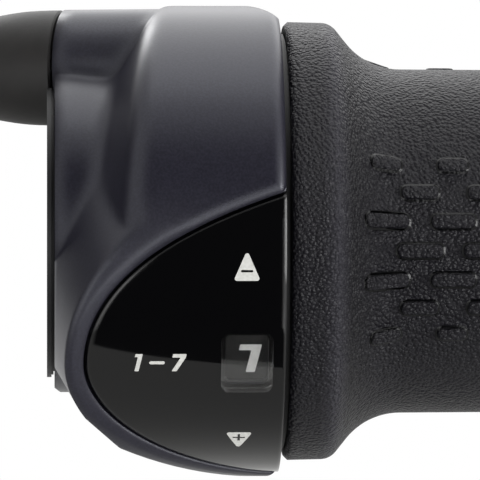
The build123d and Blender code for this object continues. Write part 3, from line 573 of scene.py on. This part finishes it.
def rounded(corners, steps):
    """Points along a line of (x, y, corner radius), with its corners rounded off."""
    points = []
    for i, (x, y, radius) in enumerate(corners):
        corner = Vector((x, y))
        if not radius:
            points.append(corner)
            continue
        before = (Vector(corners[i - 1][:2]) - corner).normalized()
        after = (Vector(corners[(i + 1) % len(corners)][:2]) - corner).normalized()
        half = before.angle(after) / 2
        middle = corner + (before + after).normalized() * radius / math.sin(half)
        first = corner + before * radius / math.tan(half) - middle
        last = corner + after * radius / math.tan(half) - middle
        for step in range(steps + 1):
            arm = first.slerp(last, step / steps)
            points.append(middle + arm.normalized() * radius)
    return points


def divided(points, longest):
    """The same line with its long runs divided."""
    line = [points[0]]
    for end in points[1:]:
        count = math.ceil((end - line[-1]).length / longest)
        start = line[-1]
        line += [start.lerp(end, (step + 1) / count) for step in range(count)]
    return line


def round_bar(x, radius, angle):
    """Point in metres at a place along the bar, a radius and an angle in radians."""
    return (x * MM, -radius * math.cos(angle) * MM, radius * math.sin(angle) * MM)


# Rubber sleeve of the grip, turned from its section
outside = divided(rounded(GRIP_OUTSIDE, steps=12), GRIP_STEP)
section = [(p.x, p.y) for p in outside] + list(GRIP_INSIDE)
points = []
faces = []
for x, radius in section:
    for turn in range(GRIP_SEGMENTS):
        points.append(round_bar(x, radius, math.tau * turn / GRIP_SEGMENTS))
for ring in range(len(section)):
    following = (ring + 1) % len(section)
    for turn in range(GRIP_SEGMENTS):
        beside = (turn + 1) % GRIP_SEGMENTS
        a = ring * GRIP_SEGMENTS
        b = following * GRIP_SEGMENTS
        faces.append((a + turn, b + turn, b + beside, a + beside))
grip = new_piece("grip_rubber", points, faces, leather)

# One pad of the shortest length, flat
shortest = PAD_LENGTHS[-1]
points = []
faces = []
shade = []
for margin, height, dark in PAD_LOOPS:
    a = shortest / 2 + margin
    b = PAD_WIDTH / 2 + margin
    r = PAD_CORNER + margin
    outline = rounded([(-a, -b, r), (a, -b, r), (a, b, r), (-a, b, r)], steps=4)
    points += [(p.x * MM, p.y * MM, height * MM) for p in outline]
    shade += [dark] * len(outline)
count = len(outline)
for loop in range(len(PAD_LOOPS) - 1):
    for i in range(count):
        j = (i + 1) % count
        low = loop * count
        faces.append((low + i, low + j, low + count + j, low + count + i))
faces.append(tuple(range(len(points) - count, len(points))))
faces.append(tuple(reversed(range(count))))
pad = new_piece("pad_pattern", points, faces, leather)
# Flags the ring round the pad whose colour is painted dark as the shade of a groove
pad.data.attributes.new("painted_moat", "FLOAT", "POINT").data.foreach_set("value", shade)


def add_pads(sleeve, pattern):
    """Lays the pads on the sleeve with Geometry Nodes: one group wrapped on the rubber, then copied."""
    tree = bpy.data.node_groups.new("raised_pads", "GeometryNodeTree")
    tree.interface.new_socket("Geometry", in_out="OUTPUT", socket_type="NodeSocketGeometry")
    tree.interface.new_socket("Geometry", in_out="INPUT", socket_type="NodeSocketGeometry")
    length = (PAD_COLUMNS - 1) * PAD_COLUMN_STEP
    sizes = {
        "Pad": ("NodeSocketObject", pattern),
        "Groups": ("NodeSocketInt", PAD_GROUPS),
        "Rows": ("NodeSocketInt", PAD_ROWS),
        "Columns": ("NodeSocketInt", PAD_COLUMNS),
        "Row Step": ("NodeSocketFloat", math.radians(PAD_ROW_STEP)),
        "Group Angle": ("NodeSocketFloat", math.radians(PAD_ROW_STEP * (PAD_ROWS - 1))),
        "Group Length": ("NodeSocketFloat", length * MM),
        "Group Middle": ("NodeSocketFloat", (PAD_FIRST + length / 2 + PAD_COLUMN_STEP / 2) * MM),
        "Odd Row Shift": ("NodeSocketFloat", -PAD_COLUMN_STEP / 2 * MM),
        "Front Group": ("NodeSocketFloat", math.radians(PAD_GROUP_ANGLE)),
        "Group Step": ("NodeSocketFloat", math.radians(PAD_GROUP_STEP)),
        "First Turn": ("NodeSocketFloat", math.radians(-PAD_GROUP_STEP * (PAD_GROUPS - 1) / 2)),
        "Neck Radius": ("NodeSocketFloat", GRIP_OUTSIDE[3][1] * MM),
        "Cast From": ("NodeSocketFloat", -CAST_RADIUS * MM),
        "Cast Length": ("NodeSocketFloat", CAST_LENGTH * MM),
        "Rubber": ("NodeSocketMaterial", leather),
    }
    sockets = {}
    for name, (kind, _) in sizes.items():
        socket = tree.interface.new_socket(name, in_out="INPUT", socket_type=kind)
        sockets[name] = socket.identifier
    given = node(tree, "NodeGroupInput").outputs

    # one group as a flat grid: X along the bar, Y as the angle from the group's middle row
    grid = node(
        tree,
        "GeometryNodeMeshGrid",
        {
            "Size X": given["Group Length"],
            "Size Y": given["Group Angle"],
            "Vertices X": given["Columns"],
            "Vertices Y": given["Rows"],
        },
    )
    flat = node(tree, "GeometryNodeInputPosition").outputs[0]
    local = node(tree, "ShaderNodeSeparateXYZ", {0: flat}).outputs

    # every other row is shifted along the bar, and outer rows have shorter pads
    row = node(tree, "ShaderNodeMath", {0: local[1], 1: given["Row Step"]}, operation="DIVIDE")
    away = node(tree, "ShaderNodeMath", {0: row.outputs[0]}, operation="ABSOLUTE")
    away = node(tree, "ShaderNodeMath", {0: away.outputs[0]}, operation="ROUND").outputs[0]
    odd = node(tree, "ShaderNodeMath", {0: away, 1: 1.0}, operation="PINGPONG").outputs[0]
    shifted = node(
        tree,
        "ShaderNodeMath",
        {0: odd, 1: given["Odd Row Shift"], 2: local[0]},
        operation="MULTIPLY_ADD",
    )
    along = node(tree, "ShaderNodeMath", {0: shifted.outputs[0], 1: given["Group Middle"]})
    angle = node(tree, "ShaderNodeMath", {0: local[1], 1: given["Front Group"]})
    longer = node(tree, "GeometryNodeIndexSwitch", {"Index": away}, data_type="FLOAT")
    for _ in range(len(PAD_LENGTHS) - len(longer.index_switch_items)):
        longer.index_switch_items.new()
    for i, pad_length in enumerate(PAD_LENGTHS):
        longer.inputs[i + 1].default_value = (pad_length - shortest) / 2 * MM
    spot = node(
        tree,
        "ShaderNodeCombineXYZ",
        {0: along.outputs[0], 1: angle.outputs[0], 2: longer.outputs[0]},
    )
    placed = node(
        tree,
        "GeometryNodeStoreNamedAttribute",
        {"Geometry": grid.outputs[0], "Name": "pad_spot", "Value": spot.outputs[0]},
        data_type="FLOAT_VECTOR",
    )
    origin = node(tree, "ShaderNodeCombineXYZ").outputs[0]
    heap = node(tree, "GeometryNodeSetPosition", {0: placed.outputs[0], "Position": origin})
    shape = node(tree, "GeometryNodeObjectInfo", {"Object": given["Pad"]})
    pads = node(
        tree,
        "GeometryNodeInstanceOnPoints",
        {"Points": heap.outputs[0], "Instance": shape.outputs["Geometry"]},
    )
    loose = node(tree, "GeometryNodeRealizeInstances", {0: pads.outputs[0]})

    # wrap each pad: stretch it, then stand it on the rubber found by casting inwards
    spot = node(tree, "GeometryNodeInputNamedAttribute", {"Name": "pad_spot"}, data_type="FLOAT_VECTOR")
    spot = node(tree, "ShaderNodeSeparateXYZ", {0: spot.outputs[0]}).outputs
    side = node(tree, "ShaderNodeMath", {0: local[0]}, operation="SIGN").outputs[0]
    stretched = node(
        tree, "ShaderNodeMath", {0: side, 1: spot[2], 2: local[0]}, operation="MULTIPLY_ADD"
    )
    x = node(tree, "ShaderNodeMath", {0: spot[0], 1: stretched.outputs[0]}).outputs[0]
    turn = node(tree, "ShaderNodeMath", {0: local[1], 1: given["Neck Radius"]}, operation="DIVIDE")
    angle = node(tree, "ShaderNodeMath", {0: spot[1], 1: turn.outputs[0]}).outputs[0]
    above = node(tree, "ShaderNodeCombineXYZ", {0: x, 1: given["Cast From"]}).outputs[0]
    far = node(
        tree,
        "ShaderNodeVectorRotate",
        {"Vector": above, "Angle": angle},
        rotation_type="X_AXIS",
        invert=True,
    )
    inwards = node(
        tree,
        "ShaderNodeVectorRotate",
        {"Vector": (0, 1, 0), "Angle": angle},
        rotation_type="X_AXIS",
        invert=True,
    )
    cast = node(
        tree,
        "GeometryNodeRaycast",
        {
            "Target Geometry": given["Geometry"],
            "Source Position": far.outputs[0],
            "Ray Direction": inwards.outputs[0],
            "Ray Length": given["Cast Length"],
        },
    )
    rise = node(
        tree, "ShaderNodeVectorMath", {0: inwards.outputs[0], "Scale": local[2]}, operation="SCALE"
    )
    stood = node(
        tree,
        "ShaderNodeVectorMath",
        {0: cast.outputs["Hit Position"], 1: rise.outputs[0]},
        operation="SUBTRACT",
    )
    wrapped = node(
        tree, "GeometryNodeSetPosition", {"Geometry": loose.outputs[0], "Position": stood.outputs[0]}
    )

    # copies of the group round the bar, joined with the sleeve
    spots = node(tree, "GeometryNodePoints", {"Count": given["Groups"]})
    index = node(tree, "GeometryNodeInputIndex").outputs[0]
    turn = node(
        tree,
        "ShaderNodeMath",
        {0: index, 1: given["Group Step"], 2: given["First Turn"]},
        operation="MULTIPLY_ADD",
    )
    spin = node(tree, "ShaderNodeCombineXYZ", {0: turn.outputs[0]})
    groups = node(
        tree,
        "GeometryNodeInstanceOnPoints",
        {"Points": spots.outputs[0], "Instance": wrapped.outputs[0], "Rotation": spin.outputs[0]},
    )
    joined = node(tree, "GeometryNodeJoinGeometry", {0: given["Geometry"]})
    tree.links.new(groups.outputs[0], joined.inputs[0])
    smooth = node(tree, "GeometryNodeSetShadeSmooth", {0: joined.outputs[0]})
    realized = node(tree, "GeometryNodeRealizeInstances", {0: smooth.outputs[0]})
    finished = node(
        tree, "GeometryNodeSetMaterial", {0: realized.outputs[0], "Material": given["Rubber"]}
    )
    node(tree, "NodeGroupOutput", {0: finished.outputs[0]})

    modifier = sleeve.modifiers.new("raised_pads", "NODES")
    modifier.node_group = tree
    for name, (_, value) in sizes.items():
        modifier[sockets[name]] = value
    shown = sleeve.evaluated_get(bpy.context.evaluated_depsgraph_get())
    mesh = bpy.data.meshes.new_from_object(shown)
    sleeve.modifiers.clear()
    sleeve.data = mesh


add_pads(grip, pad)
bpy.data.objects.remove(pad)
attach(grip, "grip")
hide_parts("grip_sleeve")


def flat_shape(outlines):
    """Flat mesh of outlines in millimetres, holes left open, as a bmesh."""
    curve = bpy.data.curves.new("outline", "CURVE")
    curve.dimensions = "2D"
    curve.fill_mode = "FRONT"
    for outline in outlines:
        spline = curve.splines.new("POLY")
        spline.points.add(len(outline) - 1)
        for point, place in zip(spline.points, outline):
            point.co = (place[0], place[1], 0, 1)
        spline.use_cyclic_u = True
    holder = bpy.data.objects.new("outline", curve)
    shape = bmesh.new()
    mesh = bpy.data.meshes.new_from_object(holder)
    shape.from_mesh(mesh)
    bpy.data.objects.remove(holder)
    bpy.data.curves.remove(curve)
    bpy.data.meshes.remove(mesh)
    return shape


def wrap_on_drum(name, outlines, place, angle, radius, thickness, material, body):
    """A sheet in the shape of the outlines, bent round a drum about the bar."""
    shape = flat_shape(outlines)
    low = min(v.co.y for v in shape.verts)
    high = max(v.co.y for v in shape.verts)
    for step in range(1, math.ceil((high - low) / STRIP)):
        bmesh.ops.bisect_plane(
            shape,
            geom=shape.verts[:] + shape.edges[:] + shape.faces[:],
            plane_co=(0, low + step * STRIP, 0),
            plane_no=(0, 1, 0),
        )
    shape.normal_update()
    if sum(face.normal.z for face in shape.faces) < 0:
        bmesh.ops.reverse_faces(shape, faces=shape.faces[:])
    raised = bmesh.ops.extrude_face_region(shape, geom=shape.faces[:])["geom"]
    tops = [part for part in raised if isinstance(part, bmesh.types.BMVert)]
    for vert in tops:
        vert.co.z = thickness
    for vert in shape.verts:
        turn = math.radians(angle) + vert.co.y / radius
        vert.co = round_bar(place + vert.co.x, radius + vert.co.z, turn)
    mesh = bpy.data.meshes.new(name)
    shape.to_mesh(mesh)
    shape.free()
    mesh.shade_smooth()
    mesh.set_sharp_from_angle(angle=math.radians(SHARP_ANGLE))
    mesh.materials.append(material)
    piece = bpy.data.objects.new(name, mesh)
    bpy.context.scene.collection.objects.link(piece)
    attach(piece, body)
    return piece


def numeral(outlines, size=1.0, x=0.0):
    """Outlines of a slanted block numeral, centred on a place along the bar."""
    placed = []
    for outline in outlines:
        soft = rounded([(*corner, DIGIT_CORNER) for corner in outline], steps=3)
        line = []
        for p in soft:
            across = p.x - DIGIT_WIDTH / 2
            up = p.y - DIGIT_HEIGHT / 2
            line.append((x + (across + DIGIT_SHEAR * up) * size, up * DIGIT_STRETCH * size))
        placed.append(line)
    return placed


def triangle(up):
    """Outline of a rounded triangle that points up or down."""
    side = 1 if up else -1
    a, b = TRIANGLE_WIDTH / 2 * side, TRIANGLE_HEIGHT / 2 * side
    r = TRIANGLE_CORNER
    return [(p.x, p.y) for p in rounded([(-a, -b, r), (a, -b, r), (0, b, r)], steps=5)]


def block(length, height):
    """Outline of the pane's rounded rectangle."""
    a, b = length / 2, height / 2
    r = WINDOW_CORNER
    corners = [(-a, -b, r), (a, -b, r), (a, b, r), (-a, b, r)]
    return [(p.x, p.y) for p in rounded(corners, steps=6)]


def bar(length, width, y=0.0):
    """Outline of a straight stroke with rounded ends."""
    a, b = length / 2, width / 2
    corners = [(-a, -b, b), (a, -b, b), (a, b, b), (-a, b, b)]
    return [(p.x, p.y + y) for p in rounded(corners, steps=3)]


def plus(y):
    """Outline of a plus sign."""
    a, b = PLUS_ARM, PLUS_WIDTH / 2
    quarter = [(b, b), (a, b), (a, -b)]
    outline = []
    for _ in range(4):
        outline += [(px, py + y) for px, py in quarter]
        quarter = [(py, -px) for px, py in quarter]
    return outline


# Numbers printed on the ring, one gear step apart
for number, outlines in DIGITS.items():
    wrap_on_drum(
        f"ring_number_{number}",
        numeral(outlines),
        NUMBER_PLACE,
        DISPLAY_ANGLE + NUMBER_ANGLE + GEAR_STEP * (number - 1),
        RING_RADIUS,
        INK_THICKNESS,
        white_ink,
        "grip",
    )

# Pane over the numbers, and the polished black border on the ledge that it rests on
pane_outline = block(WINDOW_LENGTH, WINDOW_HEIGHT)
pane_foot = PANE_BACK + INK_THICKNESS + PANE_GAP
pane = wrap_on_drum(
    "window_pane",
    [pane_outline],
    WINDOW_PLACE,
    DISPLAY_ANGLE,
    pane_foot,
    LENS_RADIUS - pane_foot,
    clear,
    "housing",
)
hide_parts("indicator_window")
wrap_on_drum(
    "window_border",
    [pane_outline, block(WINDOW_LENGTH - 2 * WINDOW_LEDGE, WINDOW_HEIGHT - 2 * WINDOW_LEDGE)],
    WINDOW_PLACE,
    DISPLAY_ANGLE,
    PANE_BACK,
    INK_THICKNESS,
    acrylic,
    "housing",
)

# Signs printed on the lens: (name, outlines, place along the bar, angle)
gears = numeral(SLIM_ONE, RANGE_SCALE, RANGE_FIRST_PLACE)
gears.append(bar(DASH_LENGTH, DASH_WIDTH))
gears += numeral(DIGITS[7], RANGE_SCALE, RANGE_LAST_PLACE)
minus_sign = [triangle(True), bar(MINUS_LENGTH, MINUS_WIDTH, MINUS_PLACE)]
plus_sign = [triangle(False), plus(PLUS_PLACE)]
SIGNS = (
    ("gear_range", gears, 10.6, -30.5),
    ("down_shift_sign", minus_sign, 19.18, -5.8),
    ("up_shift_sign", plus_sign, 18.72, -57.6),
)
for name, outlines, along, angle in SIGNS:
    wrap_on_drum(
        name, outlines, along, angle, LENS_RADIUS, INK_THICKNESS, ink, "housing"
    )

# Camera where the photograph was taken from
camera_data = bpy.data.cameras.new("camera")
camera_data.lens = CAMERA_LENS
camera_data.sensor_width = CAMERA_SENSOR
camera = bpy.data.objects.new("camera", camera_data)
camera.location = Vector(CAMERA_PLACE) * MM
sight = Vector(CAMERA_TARGET) * MM - camera.location
camera.rotation_euler = sight.to_track_quat("-Z", "Y").to_euler()
bpy.context.scene.collection.objects.link(camera)
bpy.context.scene.camera = camera

# Soft light: from overhead, from behind for the shoulder, from low in front for the display, and from the
# right for the lens's edge and the grip's grain
for name, place, target, size, brightness in SOFTBOXES:
    lamp = bpy.data.lights.new(name, "AREA")
    lamp.shape = "RECTANGLE"
    lamp.size, lamp.size_y = size
    lamp.energy = brightness * math.pi * size[0] * size[1]
    softbox = bpy.data.objects.new(name, lamp)
    softbox.location = place
    sight = Vector(target) - softbox.location
    softbox.rotation_euler = sight.to_track_quat("-Z", "Y").to_euler()
    bpy.context.scene.collection.objects.link(softbox)

# Pale table under the part. It ends a little in front of it, and the lens shows that edge as a line
table = new_material("pale_table", **{"Base Color": linear("#cfcfcd"), "Roughness": 0.8})[0]
outline = rounded(TABLE_OUTLINE, steps=12)
table_top = new_piece(
    "table_top",
    [(p.x * MM, p.y * MM, -TABLE_DROP * MM) for p in outline],
    [tuple(range(len(outline)))],
    table,
)

# Black cards that keep the gloss dark: behind the camera and at both sides. No camera sees them
felt, tree, shader, _ = new_material(
    "black_felt", **{"Base Color": linear("#161516"), "Roughness": 0.9}
)
seen = node(tree, "ShaderNodeLightPath").outputs["Is Camera Ray"]
shown = node(tree, "ShaderNodeMath", {0: 1.0, 1: seen}, operation="SUBTRACT")
tree.links.new(shown.outputs[0], shader.inputs["Alpha"])
for name, corners in CARDS.items():
    new_piece(name, corners, [(0, 1, 2, 3)], felt)

# White studio round the part, plain white to the camera, in reflections and through the pane
world = bpy.data.worlds.new("studio")
bpy.context.scene.world = world
world.use_nodes = True
tree = world.node_tree
tree.nodes.clear()
path = node(tree, "ShaderNodeLightPath").outputs
seen = node(
    tree, "ShaderNodeMath", {0: path["Is Camera Ray"], 1: path["Is Glossy Ray"]}, operation="MAXIMUM"
)
seen = node(
    tree, "ShaderNodeMath", {0: seen.outputs[0], 1: path["Is Transmission Ray"]}, operation="MAXIMUM"
)
level = node(
    tree,
    "ShaderNodeMapRange",
    {"Value": seen.outputs[0], "To Min": STUDIO_LIGHT, "To Max": 1.0},
)
sky = node(tree, "ShaderNodeBackground", {"Color": (1, 1, 1, 1), "Strength": level.outputs[0]})
node(tree, "ShaderNodeOutputWorld", {"Surface": sky.outputs[0]})

bpy.context.scene.view_settings.view_transform = "Standard"
